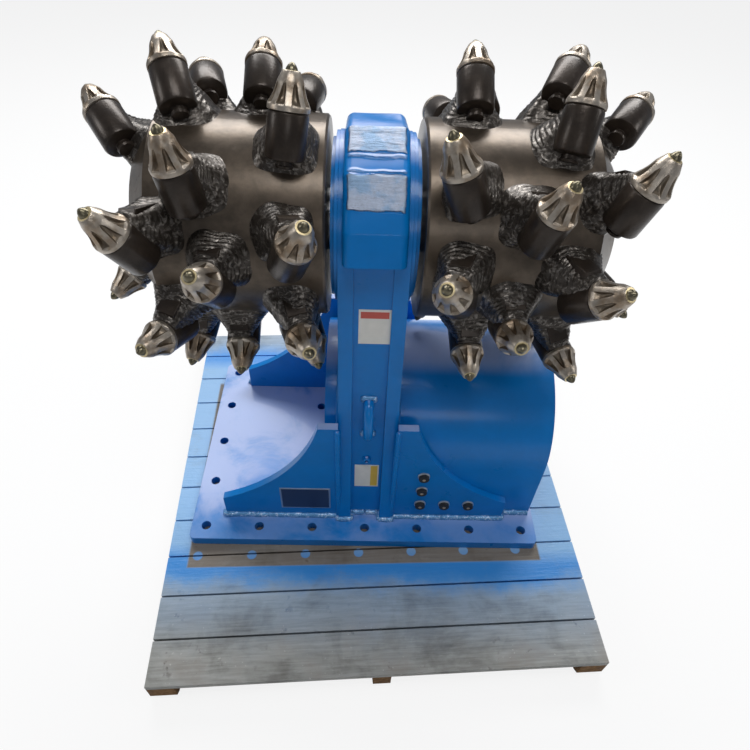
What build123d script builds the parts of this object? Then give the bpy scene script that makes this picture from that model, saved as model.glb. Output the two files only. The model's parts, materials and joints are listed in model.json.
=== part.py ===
"""Drum cutter attachment standing on its transport pallet.

Millimetres, +Z up. X runs along the drum axis, +X to the viewer's right, and +Y points
away from the viewer. The origin is the centre of the mounting plate's bolt pattern, on
the plate's underside, which rests on the pallet's deck.
"""

import math
import os
from collections import namedtuple

from build123d import *

# mounting plate
plate_length = 655.0
plate_width = 455.0
plate_thickness = 20.0
plate_corner_radius = 10.0
plate_hole_pitch = 100.0
plate_hole_dia = 17.5
plate_holes_along = 7
plate_holes_across = 5
inner_hole_x = -100.0
inner_hole_y = 102.0

# leg with the gear head on top
leg_width = 99.0
leg_foot_half_depth = 182.0
leg_side_plate = 22.0
leg_web_recess = 17.0
leg_web_top_recess = 2.0
leg_web_top_gap = 12.0
head_radius = 122.0
shaft_radius = 46.0
shaft_gap = 0.8
gear_case_stub = 24.5

# wear cap over the head, bent from flat strips
cap_width = 86.0
cap_radius = 148.0
cap_bend_angles = (-84.0, -66.0, -37.0, -6.0, 35.0, 64.0, 84.0)

# bearing flanges, two steps between the head and each drum
flange_radius = 120.5
flange_step = 5.0
flange_inner_radius = 112.0
flange_inner_step = 5.0
running_gap = 5.0

# cutting drums
drum_radius = 141.0
drum_length = 225.5
drum_taper_length = 32.0
drum_end_radius = 98.0
drum_rim_chamfer = 3.0
hub_recess_radius = 66.0
hub_recess_depth = 10.0

# picks
pick_reach = 99.0
pick_guard_gap = 7.0
pick_tilt = 32.0
pick_flutes = 8
pick_collar_radius = 25.5
pick_collar_height = 5.0
pick_skirt_length = 30.0
pick_neck_radius = 15.0
pick_flute_root = 15.6
pick_flute_angle = 62.0
pick_nose_length = 13.0
pick_nose_radius = 9.6
pick_point_length = 9.0
pick_point_radius = 2.2

# sleeves and their welded holders
sleeve_radius = 25.0
sleeve_length = 55.0
sleeve_sides = 12
bar_width = 28.0
bar_setback = 8.0
bar_shoulder = 19.0
bar_front = 6.0
bar_foot = 16.0
bar_heel = -38.0
mound_offset = -27.0
mound_length = 80.0
mound_width = 90.0
mound_height = 50.0
mound_root = 13.0
mound_taper = 20.0

# gussets between the leg and the plate
gusset_thickness = 13.5
gusset_face_y = 173.5
gusset_reach = 265.0
gusset_end_height = 73.0
gusset_top_height = 285.0
gusset_top_reach = 83.0
gusset_arc_radius = 303.0

# guard over the motor, open at the plate's end
guard_spring_height = 162.0
guard_thickness = 12.0
guard_end_x = 321.0

# motor, kept as one plain block
motor_length = 190.0
motor_width = 150.0
motor_height = 170.0
motor_axis_height = 150.0

# lifting eye on the leg's web
eye_bottom = 247.0
eye_top = 327.0
eye_reach = 31.0
eye_thickness = 16.0
eye_bar = 13.0
eye_root = 18.0

# hexagon plug in the web and capped ports on the right front gusset
plug_height = 177.0
plug_across = 15.0
plug_length = 7.0
port_x = 104.0
port_z = 52.0
port_pitch = 46.0
port_across = 18.0
port_length = 9.0

# transport pallet
pallet_turn = 3.4
pallet_left = -377.0
pallet_right = 389.0
pallet_front = -458.0
board_thickness = 12.0
board_width = 72.0
board_gap = 3.4
board_count = 11
runner_width = 44.0
middle_runner_width = 30.0
runner_height = 42.0
runner_chamfer = 10.0

# places that follow from the sizes
guard_half_width = gusset_face_y - gusset_thickness
tip_radius = drum_radius + pick_reach
axis_height = guard_spring_height + guard_half_width + pick_guard_gap + tip_radius
head_rise = axis_height - plate_thickness
tangent_turn = math.acos(head_radius / math.hypot(head_rise, leg_foot_half_depth))
neck_turn = tangent_turn - math.atan2(head_rise, leg_foot_half_depth)
leg_neck_half_depth = head_radius * math.cos(neck_turn)
neck_height = axis_height + head_radius * math.sin(neck_turn)
drum_inner_x = leg_width / 2 + flange_step + flange_inner_step + running_gap
drum_shoulder_x = drum_inner_x + drum_length
drum_end_x = drum_shoulder_x + drum_taper_length

os.makedirs("parts", exist_ok=True)


def save(piece, label):
    piece.part.label = label
    export_step(piece.part, "parts/" + label + ".step")


# mounting plate: bolt holes all round its edge at one pitch, and one inner hole
half_along = (plate_holes_along - 1) / 2 * plate_hole_pitch
half_across = (plate_holes_across - 1) / 2 * plate_hole_pitch
plate_holes = [(inner_hole_x, inner_hole_y)]
for i in range(plate_holes_along):
    for j in range(plate_holes_across):
        if i in (0, plate_holes_along - 1) or j in (0, plate_holes_across - 1):
            plate_holes.append((i * plate_hole_pitch - half_along, j * plate_hole_pitch - half_across))
with BuildPart() as mounting_plate:
    with BuildSketch(Plane.XY):
        RectangleRounded(plate_length, plate_width, plate_corner_radius)
        with Locations(*plate_holes):
            Circle(plate_hole_dia / 2, mode=Mode.SUBTRACT)
    extrude(amount=plate_thickness)
save(mounting_plate, "mounting_plate")


def tunnel_outline(half_width):
    """Closed outline from the plate up the sides and over the arch, in the current line."""
    Polyline(
        (half_width, guard_spring_height),
        (half_width, plate_thickness),
        (-half_width, plate_thickness),
        (-half_width, guard_spring_height),
    )
    ThreePointArc(
        (-half_width, guard_spring_height),
        (0, guard_spring_height + half_width),
        (half_width, guard_spring_height),
    )


# leg: side plates that run up to the round head, with webs set back between them, and the
# closed end of the gear case, which stands out on the left under the same arch as the guard
web_top = neck_height - leg_web_top_gap
edge_slope = (leg_foot_half_depth - leg_neck_half_depth) / (neck_height - plate_thickness)
web_top_y = leg_foot_half_depth - edge_slope * (web_top - plate_thickness) - leg_web_top_recess
web_foot_y = leg_foot_half_depth - leg_web_recess
web_slope = (web_foot_y - web_top_y) / (web_top - plate_thickness)
with BuildPart() as leg:
    with BuildSketch(Plane.YZ.offset(-leg_width / 2)):
        with BuildLine():
            Polyline(
                (-leg_foot_half_depth, plate_thickness),
                (leg_foot_half_depth, plate_thickness),
                (leg_neck_half_depth, neck_height),
                (-leg_neck_half_depth, neck_height),
                close=True,
            )
        make_face()
        with Locations((0, axis_height)):
            Circle(head_radius)
            Circle(shaft_radius + shaft_gap, mode=Mode.SUBTRACT)
    extrude(amount=leg_width)
    with BuildSketch(Plane.YZ.offset(leg_side_plate - leg_width / 2)):
        for side in (-1, 1):
            with BuildLine():
                Polyline(
                    (side * (leg_foot_half_depth + leg_web_recess), plate_thickness),
                    (side * web_foot_y, plate_thickness),
                    (side * web_top_y, web_top),
                    (side * (leg_neck_half_depth + leg_web_recess), web_top + leg_web_top_recess),
                    close=True,
                )
            make_face()
    extrude(amount=leg_width - 2 * leg_side_plate, mode=Mode.SUBTRACT)
    with BuildSketch(Plane.YZ.offset(-leg_width / 2 - gear_case_stub)):
        with BuildLine():
            tunnel_outline(guard_half_width)
        make_face()
    extrude(amount=gear_case_stub)
save(leg, "leg")

# wear cap: flat strips bent round the head
cap_corners = []
for angle in cap_bend_angles:
    turn = math.radians(angle)
    cap_corners.append((cap_radius * math.sin(turn), axis_height + cap_radius * math.cos(turn)))
with BuildPart() as wear_cap:
    with BuildSketch(Plane.YZ.offset(-cap_width / 2)):
        with BuildLine():
            Polyline(*cap_corners, close=True)
        make_face()
        with Locations((0, axis_height)):
            Circle(head_radius, mode=Mode.SUBTRACT)
    extrude(amount=cap_width)
save(wear_cap, "wear_cap")

# bearing flanges: two stepped rings on each side of the head
for side, label in ((-1, "left_bearing_flange"), (1, "right_bearing_flange")):
    head_face = Plane(origin=(side * leg_width / 2, 0, axis_height), z_dir=(side, 0, 0))
    with BuildPart() as flange:
        with BuildSketch(head_face):
            Circle(flange_radius)
            Circle(shaft_radius + shaft_gap, mode=Mode.SUBTRACT)
        extrude(amount=flange_step)
        with BuildSketch(head_face.offset(flange_step)):
            Circle(flange_inner_radius)
            Circle(shaft_radius + shaft_gap, mode=Mode.SUBTRACT)
        extrude(amount=flange_inner_step)
    save(flange, label)

# gussets: concave plates between the leg and the plate, front and rear, left and right
for side, side_name in ((-1, "left"), (1, "right")):
    for back_face, depth_name in ((gusset_face_y - gusset_thickness, "front"), (-gusset_face_y, "rear")):
        with BuildPart() as gusset:
            with BuildSketch(Plane.XZ.offset(back_face)):
                with BuildLine():
                    outline = Polyline(
                        (side * gusset_top_reach, gusset_top_height),
                        (side * leg_width / 2, gusset_top_height),
                        (side * leg_width / 2, plate_thickness),
                        (side * gusset_reach, plate_thickness),
                        (side * gusset_reach, gusset_end_height),
                    )
                    RadiusArc(outline @ 1, outline @ 0, side * gusset_arc_radius)
                make_face()
            extrude(amount=gusset_thickness)
        save(gusset, side_name + "_" + depth_name + "_gusset")

# motor guard: a tunnel between the gussets, from the leg to the plate's right end
with BuildPart() as motor_guard:
    with BuildSketch(Plane.YZ.offset(leg_width / 2)):
        for half_width, mode in ((guard_half_width, Mode.ADD), (guard_half_width - guard_thickness, Mode.SUBTRACT)):
            with BuildLine():
                tunnel_outline(half_width)
            make_face(mode=mode)
    extrude(amount=guard_end_x - leg_width / 2)
save(motor_guard, "motor_guard")

with BuildPart() as hydraulic_motor:
    with BuildSketch(Plane.YZ.offset(leg_width / 2)):
        with Locations((0, motor_axis_height)):
            Rectangle(motor_width, motor_height)
    extrude(amount=motor_length)
save(hydraulic_motor, "hydraulic_motor")


def web_y(height):
    """Y of the front web's face at a height."""
    return web_slope * (height - plate_thickness) - web_foot_y


# lifting eye: a bent flat bar that stands out from the web
with BuildPart() as lifting_eye:
    with BuildSketch(Plane.YZ.offset(-eye_thickness / 2)):
        with BuildLine():
            Polyline(
                (web_y(eye_bottom), eye_bottom),
                (web_y(eye_bottom) - eye_reach, eye_bottom + eye_reach / 2),
                (web_y(eye_top) - eye_reach, eye_top - eye_reach),
                (web_y(eye_top), eye_top),
                (web_y(eye_top - eye_root), eye_top - eye_root),
                (web_y(eye_top) - eye_reach + eye_bar, eye_top - eye_reach - eye_bar / 2),
                (web_y(eye_bottom) - eye_reach + eye_bar, eye_bottom + eye_reach / 2 + eye_bar / 2),
                (web_y(eye_bottom + eye_root), eye_bottom + eye_root),
                close=True,
            )
        make_face()
    extrude(amount=eye_thickness)
save(lifting_eye, "lifting_eye")

# hexagon plug low in the web, square to its face
web_lean = math.atan(web_slope)
plug_plane = Plane(
    origin=(0, web_y(plug_height), plug_height),
    x_dir=(1, 0, 0),
    z_dir=(0, -math.cos(web_lean), math.sin(web_lean)),
)
with BuildPart() as web_plug:
    with BuildSketch(plug_plane):
        RegularPolygon(plug_across / 2, 6)
    extrude(amount=plug_length)
save(web_plug, "web_plug")

# capped ports: three up and three along from one corner
port_places = [(port_x, port_z + i * port_pitch) for i in range(3)]
port_places += [(port_x + i * port_pitch, port_z) for i in (1, 2)]
with BuildPart() as port_caps:
    with BuildSketch(Plane.XZ.offset(gusset_face_y)):
        with Locations(*port_places):
            RegularPolygon(port_across / 2, 6)
    extrude(amount=port_length)
save(port_caps, "port_caps")

# drive shaft through the head, from drum to drum
with BuildPart() as drive_shaft:
    with BuildSketch(Plane.YZ.offset(-drum_inner_x)):
        with Locations((0, axis_height)):
            Circle(shaft_radius)
    extrude(amount=2 * drum_inner_x)
save(drive_shaft, "drive_shaft")

# Picks. station is the tip's place along the drum, 0 at the inner rim and 1 at the end face,
# angle its turn about the drum axis in degrees, from the top towards the front, drop how far
# it stays inside the cutting circle as a share of the pick reach, and splay the lean of the
# whole pick away from the middle in degrees.
Pick = namedtuple("Pick", "station angle drop splay")
left_picks = [
    Pick(0.060, 60, 0.04, -21),
    Pick(0.060, 106, 0.04, -19),
    Pick(0.060, 152, 0.04, -21),
    Pick(0.068, 200, 0.04, -21),
    Pick(0.099, 250, 0.04, -14),
    Pick(0.107, 300, 0.04, -12),
    Pick(0.142, 12, 0.04, -8),
    Pick(0.359, 327, 0.02, 2),
    Pick(0.417, 195, 0.04, 0),
    Pick(0.487, 262, 0.04, 3),
    Pick(0.511, 140, 0.04, -1),
    Pick(0.588, 75, 0.04, 8),
    Pick(0.697, 35, 0.04, 9),
    Pick(0.767, 308, 0.04, 18),
    Pick(0.852, 343, 0.08, 20),
    Pick(0.856, 153, 0.04, 13),
    Pick(0.915, 195, 0.04, 22),
    Pick(0.922, 243, 0.04, 22),
    Pick(0.930, 107, 0.05, 23),
    Pick(1.016, 58, 0.04, 28),
    Pick(1.272, 340, 0.75, 42),
    Pick(1.342, 164, 1.01, 46),
]
right_picks = [
    Pick(0.056, 34, 0.04, -24),
    Pick(0.064, 77, 0.04, -21),
    Pick(0.076, 190, 0.04, -20),
    Pick(0.091, 240, 0.04, -16),
    Pick(0.099, 288, 0.04, -12),
    Pick(0.250, 335, 0.03, 1),
    Pick(0.324, 133, 0.03, 2),
    Pick(0.351, 232, 0.04, 0),
    Pick(0.371, 298, 0.04, 3),
    Pick(0.491, 100, 0.04, 1),
    Pick(0.604, 47, 0.04, 14),
    Pick(0.623, 190, 0.04, 5),
    Pick(0.763, 4, 0.07, 13),
    Pick(0.856, 328, 0.00, 30),
    Pick(0.915, 185, 0.04, 22),
    Pick(0.922, 235, 0.04, 22),
    Pick(0.915, 285, 0.04, 22),
    Pick(0.922, 133, 0.04, 20),
    Pick(0.934, 77, 0.04, 30),
    Pick(1.039, 38, 0.04, 22),
    Pick(1.264, 325, 0.57, 42),
    Pick(1.330, 158, 0.97, 46),
]


def pick_plane(side, pick):
    """Plane through a pick: origin at the tip, x the way it moves, y away from the drum."""
    turn = math.radians(pick.angle)
    lean = math.radians(pick.splay)
    ahead = Vector(0, math.cos(turn), math.sin(turn))
    outward = Vector(0, -math.sin(turn), math.cos(turn))
    across = drum_inner_x + pick.station * (drum_end_x - drum_inner_x)
    tip = Vector(side * across, 0, axis_height) + outward * (tip_radius - pick.drop * pick_reach)
    leaning = outward * math.cos(lean) + Vector(side * math.sin(lean), 0, 0)
    return Plane(origin=tip, x_dir=ahead, z_dir=ahead.cross(leaning))


tilt = math.radians(pick_tilt)
pick_length = pick_skirt_length + pick_nose_length + pick_point_length
seat_plane = Plane(
    origin=(-pick_length * math.sin(tilt), -pick_length * math.cos(tilt), 0),
    x_dir=(0, 0, 1),
    z_dir=(math.sin(tilt), math.cos(tilt), 0),
)

# one pick: skirt with a V flute at each corner above the collar, then nose and point
flat_share = math.cos(math.pi / pick_flutes)
flute_opening = (pick_collar_radius - pick_flute_root) * math.tan(math.radians(pick_flute_angle / 2))
sections = (
    (0, pick_collar_radius, pick_neck_radius, pick_skirt_length),
    (pick_skirt_length, pick_neck_radius, pick_nose_radius, pick_nose_length),
    (pick_skirt_length + pick_nose_length, pick_nose_radius, pick_point_radius, pick_point_length),
)
with BuildPart() as pick_shape:
    for height, radius, end_radius, length in sections:
        with BuildSketch(seat_plane.offset(height)):
            RegularPolygon(radius, pick_flutes)
        extrude(amount=length, taper=math.degrees(math.atan((radius - end_radius) * flat_share / length)))
    with BuildSketch(seat_plane.offset(pick_collar_height)):
        with PolarLocations(0, pick_flutes):
            Polygon(
                (pick_flute_root, 0),
                (pick_collar_radius, flute_opening),
                (pick_collar_radius, -flute_opening),
                align=None,
            )
    extrude(amount=pick_skirt_length - pick_collar_height, mode=Mode.SUBTRACT)


def beside_sleeve(back, lead):
    """Point on the middle plane of a pick, back from the seat and ahead of the sleeve's axis."""
    along = -pick_length - back
    return (
        along * math.sin(tilt) + lead * math.cos(tilt),
        along * math.cos(tilt) - lead * math.sin(tilt),
    )


# one holder: sleeve, support bar on its leading side and the built-up mound under both
mound_base = -pick_reach - mound_root
with BuildPart() as holder_shape:
    with BuildSketch(seat_plane.offset(-sleeve_length)):
        RegularPolygon(sleeve_radius, sleeve_sides)
    extrude(amount=sleeve_length)
    with BuildSketch(Plane.XY.offset(-bar_width / 2)):
        with BuildLine():
            Polyline(
                beside_sleeve(bar_setback, 0),
                beside_sleeve(bar_setback, bar_shoulder),
                (bar_front, mound_base + mound_height),
                (bar_foot, mound_base),
                (bar_heel, mound_base),
                close=True,
            )
        make_face()
    extrude(amount=bar_width)
    with BuildSketch(Plane(origin=(mound_offset, mound_base, 0), x_dir=(1, 0, 0), z_dir=(0, 1, 0))):
        Rectangle(mound_length, mound_width)
    extrude(amount=mound_height, taper=mound_taper)

# drums: straight shell and a tapered end with a recessed hub; then picks and holders
for side, name, picks in ((-1, "left", left_picks), (1, "right", right_picks)):
    with BuildPart() as drum:
        with BuildSketch(Plane.XZ):
            with BuildLine():
                Polyline(
                    (side * drum_inner_x, axis_height),
                    (side * drum_inner_x, axis_height + drum_radius - drum_rim_chamfer),
                    (side * (drum_inner_x + drum_rim_chamfer), axis_height + drum_radius),
                    (side * drum_shoulder_x, axis_height + drum_radius),
                    (side * drum_end_x, axis_height + drum_end_radius),
                    (side * drum_end_x, axis_height + hub_recess_radius),
                    (side * (drum_end_x - hub_recess_depth), axis_height + hub_recess_radius),
                    (side * (drum_end_x - hub_recess_depth), axis_height),
                    close=True,
                )
            make_face()
        revolve(axis=Axis((0, 0, axis_height), (1, 0, 0)))
    save(drum, name + "_drum")

    places = [Location(pick_plane(side, pick)) for pick in picks]
    with BuildPart() as all_picks:
        with Locations(*places):
            add(pick_shape.part)
    save(all_picks, name + "_picks")
    with BuildPart() as all_holders:
        with Locations(*places):
            add(holder_shape.part)
        add(drum.part, mode=Mode.SUBTRACT)
    save(all_holders, name + "_pick_sleeves")

# pallet: boards laid across three runners with rounded-off ends
turn = math.radians(pallet_turn)
pallet_plane = Plane(origin=(0, 0, 0), x_dir=(math.cos(turn), math.sin(turn), 0), z_dir=(0, 0, 1))
pallet_mid = (pallet_left + pallet_right) / 2
pallet_length = pallet_right - pallet_left
board_step = board_width + board_gap
board_places = [(pallet_mid, pallet_front + board_width / 2 + i * board_step) for i in range(board_count)]
with BuildPart() as pallet_deck:
    with BuildSketch(pallet_plane.offset(-board_thickness)):
        with Locations(*board_places):
            Rectangle(pallet_length, board_width)
    extrude(amount=board_thickness)
save(pallet_deck, "pallet_deck")

pallet_depth = board_count * board_step - board_gap
runners = (
    (pallet_left, runner_width),
    (pallet_mid - middle_runner_width / 2, middle_runner_width),
    (pallet_right - runner_width, runner_width),
)
with BuildPart() as pallet_stringers:
    for left, width in runners:
        corner = Vector(left, 0, 0)
        runner_plane = Plane(
            origin=pallet_plane.from_local_coords(corner),
            x_dir=pallet_plane.y_dir,
            z_dir=pallet_plane.x_dir,
        )
        with BuildSketch(runner_plane):
            with BuildLine():
                Polyline(
                    (pallet_front, -board_thickness),
                    (pallet_front, -board_thickness - runner_height + runner_chamfer),
                    (pallet_front + runner_chamfer, -board_thickness - runner_height),
                    (pallet_front + pallet_depth - runner_chamfer, -board_thickness - runner_height),
                    (pallet_front + pallet_depth, -board_thickness - runner_height + runner_chamfer),
                    (pallet_front + pallet_depth, -board_thickness),
                    close=True,
                )
            make_face()
        extrude(amount=width)
save(pallet_stringers, "pallet_stringers")
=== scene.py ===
"""Drum cutter on its pallet: finishes, welds, picks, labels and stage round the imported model.

Metres, +Z up, +X along the drum axis. The origin is the centre of the bolt plate's
underside, on the pallet's deck.
"""

import json
import math
import random

import bmesh
import bpy
from mathutils import Matrix, Vector, noise

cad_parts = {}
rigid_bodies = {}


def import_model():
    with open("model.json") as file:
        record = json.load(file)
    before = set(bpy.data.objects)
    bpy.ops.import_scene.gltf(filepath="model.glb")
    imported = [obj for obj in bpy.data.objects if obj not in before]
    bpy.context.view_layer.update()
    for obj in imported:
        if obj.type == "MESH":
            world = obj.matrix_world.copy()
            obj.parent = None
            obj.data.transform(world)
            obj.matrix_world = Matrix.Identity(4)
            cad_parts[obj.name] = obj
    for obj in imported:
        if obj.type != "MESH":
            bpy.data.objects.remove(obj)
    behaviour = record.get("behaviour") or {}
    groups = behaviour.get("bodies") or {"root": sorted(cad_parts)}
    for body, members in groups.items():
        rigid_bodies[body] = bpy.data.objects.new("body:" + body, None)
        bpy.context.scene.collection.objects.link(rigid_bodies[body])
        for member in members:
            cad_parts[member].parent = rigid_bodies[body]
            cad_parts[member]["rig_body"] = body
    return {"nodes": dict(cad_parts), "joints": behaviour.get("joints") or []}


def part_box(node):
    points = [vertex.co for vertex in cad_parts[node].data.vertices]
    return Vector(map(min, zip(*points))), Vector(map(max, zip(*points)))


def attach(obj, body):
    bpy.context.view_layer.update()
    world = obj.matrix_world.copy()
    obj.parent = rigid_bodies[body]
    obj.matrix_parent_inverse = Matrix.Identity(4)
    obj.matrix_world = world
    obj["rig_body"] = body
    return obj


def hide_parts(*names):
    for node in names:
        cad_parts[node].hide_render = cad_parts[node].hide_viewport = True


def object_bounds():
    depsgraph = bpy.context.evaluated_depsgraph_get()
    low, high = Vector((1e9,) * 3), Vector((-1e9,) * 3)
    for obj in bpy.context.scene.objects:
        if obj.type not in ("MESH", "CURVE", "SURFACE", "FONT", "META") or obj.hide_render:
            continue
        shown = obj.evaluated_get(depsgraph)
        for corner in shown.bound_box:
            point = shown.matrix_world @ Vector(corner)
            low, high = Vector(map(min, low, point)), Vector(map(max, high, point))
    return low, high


bl_info = {
    "name": "Drum cutter dressing",
    "version": (1, 0, 0),
    "blender": (4, 5, 0),
    "location": "3D View > Sidebar > Drum cutter",
    "description": "Builds picks, sleeves, welds, labels, cap and finishes on the drum cutter",
    "category": "Object",
}

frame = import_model()
CAD_BOX = [list(corner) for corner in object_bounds()]
STILL = "frame_on_pallet"
TURNING = "rotor"
AXIS_HEIGHT = frame["joints"][0]["pos_m"][2]
DRUM_SIDES = {"left": -1, "right": 1}
PLATE_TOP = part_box("mounting_plate")[1][2]
LEG_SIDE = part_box("leg")[1][0]
GUSSET_FACE = -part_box("left_front_gusset")[0][1]
GUSSET_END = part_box("right_front_gusset")[1][0]
GUSSET_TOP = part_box("right_front_gusset")[1][2]
LEG_FOOT = -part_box("leg")[0][1]
GUARD_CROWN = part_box("motor_guard")[1][2]
# half lengths of the bolt plate along X and Y
PLATE_HALF = (0.3275, 0.2275)
# the leg's sloped web: how far its front runs back per height, and where it meets the plate
WEB_LEAN = 0.0807
WEB_FOOT = -0.165
WEB_UP = Vector((0.0, WEB_LEAN, 1.0)).normalized()
WEB_OUT = Vector((0.0, -WEB_UP.z, WEB_UP.y))
ROUND = 2.0 * math.pi


class Field:
    """A value that changes over a surface. Sums and products of fields add Math nodes."""

    def __init__(self, nodes, socket):
        self.nodes = nodes
        self.socket = socket

    def math(self, operation, *values, clamp=False):
        settings = {"operation": operation, "use_clamp": clamp}
        return self.nodes.add("ShaderNodeMath", settings, dict(enumerate(values)))

    def __add__(self, other):
        return self.math("ADD", self, other)

    def __sub__(self, other):
        return self.math("SUBTRACT", self, other)

    def __rsub__(self, other):
        return self.math("SUBTRACT", other, self)

    def __mul__(self, other):
        return self.math("MULTIPLY", self, other)

    __radd__, __rmul__ = __add__, __mul__

    def __pow__(self, other):
        return self.math("POWER", self, other)

    def __abs__(self):
        return self.math("ABSOLUTE", self)

    def high(self, other):
        return self.math("MAXIMUM", self, other)

    def clamped(self):
        return self.math("ADD", self, 0.0, clamp=True)

    def step(self, start, end):
        """0 at start, 1 at end, smooth between."""
        settings = {"interpolation_type": "SMOOTHSTEP"}
        values = {"Value": self, "From Min": start, "From Max": end}
        return self.nodes.add("ShaderNodeMapRange", settings, values)


class Nodes:
    """A node tree, and the one method that adds nodes to it."""

    def __init__(self, tree):
        self.tree = tree
        tree.nodes.clear()

    def add(self, kind, settings=None, values=None, output=0):
        """Adds a node with its settings, then its values or links.

        Returns one output as a field, or the node itself where it has no output.
        """
        node = self.tree.nodes.new(kind)
        for name, value in (settings or {}).items():
            if name == "stops":
                self.fill_ramp(node.color_ramp, value)
            else:
                setattr(node, name, value)
        for socket, value in (values or {}).items():
            self.feed(node.inputs[socket], value)
        return Field(self, node.outputs[output]) if node.outputs else node

    def fill_ramp(self, ramp, stops):
        while len(ramp.elements) < len(stops):
            ramp.elements.new(0.5)
        for element, (place, colour) in zip(ramp.elements, stops):
            element.position = place
            element.color = (*colour, 1.0)

    def feed(self, socket, value):
        if isinstance(value, Field):
            self.tree.links.new(value.socket, socket)
        elif socket.type == "RGBA" and len(value) == 3:
            socket.default_value = (*value, 1.0)
        else:
            socket.default_value = value


class Finish(Nodes):
    """One material: a Principled shader and the fields that drive it."""

    def __init__(self, name, **constants):
        self.material = bpy.data.materials.new(name)
        self.material.use_nodes = True
        super().__init__(self.material.node_tree)
        self.shader = self.add("ShaderNodeBsdfPrincipled")
        self.output = self.add("ShaderNodeOutputMaterial", values={0: self.shader})
        self.relief = None
        for socket, value in constants.items():
            self.set(socket.replace("_", " "), value)

    def set(self, socket, value):
        self.feed(self.shader.socket.node.inputs[socket], value)

    def made(self, base, roughness, metallic=0.0):
        """Sets what every finish has, and returns the material."""
        self.set("Base Color", base)
        self.set("Roughness", roughness)
        self.set("Metallic", metallic)
        return self.material

    def place(self):
        return self.add("ShaderNodeTexCoord", output=3)

    def axes(self):
        """Fields of the place along X, Y and Z, in metres."""
        split = self.add("ShaderNodeSeparateXYZ", values={0: self.place()})
        return [Field(self, output) for output in split.socket.node.outputs]

    def normal_up(self):
        """How far the surface faces up, -1 to 1."""
        geometry = self.add("ShaderNodeNewGeometry", output=1)
        return self.add("ShaderNodeSeparateXYZ", values={0: geometry}, output=2)

    def noise(self, scale, detail=4.0, rough=0.55, stretch=None, warp=0.0, spot=None):
        """A field about 0.5, cloudy at low scales and grainy at high ones."""
        spot = spot or self.place()
        if stretch:
            spot = self.add("ShaderNodeMapping", values={"Vector": spot, "Scale": stretch})
        values = {"Vector": spot, "Scale": scale, "Detail": detail}
        values.update({"Roughness": rough, "Distortion": warp})
        return self.add("ShaderNodeTexNoise", values=values)

    def ramp(self, share, stops):
        """A colour from a field through colour stops."""
        return self.add("ShaderNodeValToRGB", {"stops": stops}, {0: share})

    def mix(self, share, first, second):
        """A colour between two, by a share from 0 to 1."""
        settings = {"data_type": "RGBA", "clamp_factor": True}
        return self.add("ShaderNodeMix", settings, {0: share, 6: first, 7: second}, output=2)

    def tint(self, colour, shade):
        """A colour made lighter or darker by a field about 1."""
        settings = {"data_type": "RGBA", "blend_type": "MULTIPLY"}
        grey = self.add("ShaderNodeCombineColor", values={0: shade, 1: shade, 2: shade})
        return self.add("ShaderNodeMix", settings, {0: 1.0, 6: colour, 7: grey}, output=2)

    def bump(self, height, depth, strength=1.0):
        """Adds relief; depth is the height of a full step of the field, in metres."""
        values = {"Height": height, "Strength": strength, "Distance": depth}
        if self.relief:
            values["Normal"] = self.relief
        self.relief = self.add("ShaderNodeBump", values=values)
        self.set("Normal", self.relief)

    def soften(self, radius):
        """Rounds the look of hard edges by a small radius."""
        self.relief = self.add("ShaderNodeBevel", {"samples": 4}, {"Radius": radius})


def blue_paint(name, colour):
    """Gloss machine paint: orange peel, cloudy gloss, a painted lilac reflection on faces that look
    up, and soft edges.
    """
    paint = Finish(name, Specular_IOR_Level=0.22, Coat_Weight=0.30, Coat_Roughness=0.16)
    paint.soften(0.0016)
    return paint.made(*paint_fields(paint, colour))


def paint_fields(paint, colour):
    """Colour and gloss of the machine paint, with a painted lilac reflection on faces that look up,
    and its relief.
    """
    # reflected_lilac: the light lilac of a painted reflection of the lamps overhead
    reflected_lilac = (0.50, 0.57, 0.82)
    cloud = paint.noise(7.5, 5.0, 0.6, warp=0.4)
    patch = paint.noise(19.0, 4.0)
    fine = paint.noise(90.0, 4.0)
    # flat, behind and haze mask the painted reflection: cloudy patches on faces that look up,
    # weaker towards the front
    flat = paint.normal_up().step(0.90, 0.995)
    behind = 0.35 + paint.axes()[1].step(-0.200, -0.150) * 0.65
    haze = (cloud - 0.30).step(0.0, 0.26) * flat * behind
    base = paint.tint(colour, 0.80 + patch * 0.26 + fine * 0.14)
    paint.bump(paint.noise(280.0, 2.0), 0.00012, 0.6)
    paint.bump(patch, 0.0010, 0.35)
    # haze mixes the painted reflection into the colour and roughens the gloss there
    return paint.mix(haze * 0.72, base, reflected_lilac), 0.22 + patch * 0.16 + haze * 0.22


def black_paint(name, colour, metallic, grain):
    """Dark lacquer on rolled steel: warm sheen, brown haze and scuffs."""
    paint = Finish(name, Specular_IOR_Level=0.38, Coat_Weight=0.10, Coat_Roughness=0.16)
    paint.soften(0.0012)
    brown = (0.10, 0.075, 0.055)
    dark = [0.55 * part for part in colour]
    haze = paint.noise(11.0, 5.0, 0.6, warp=0.6)
    grime = paint.noise(46.0, 5.0, 0.62)
    worn = (paint.noise(120.0, 4.0, 0.62) - 0.56).step(0.0, 0.12)
    scuff = worn * (haze - 0.42).step(0.0, 0.3)
    base = paint.mix((grime * 0.6 + haze * 0.5).step(0.38, 0.72), dark, colour)
    paint.bump(paint.noise(240.0, 4.0, 0.65), grain, 0.8)
    paint.bump(haze, 0.0010, 0.3)
    rough = 0.24 + haze * 0.16 + scuff * 0.2
    return paint.made(paint.mix(scuff * 0.22, base, brown), rough, metallic - scuff * 0.1)


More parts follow.
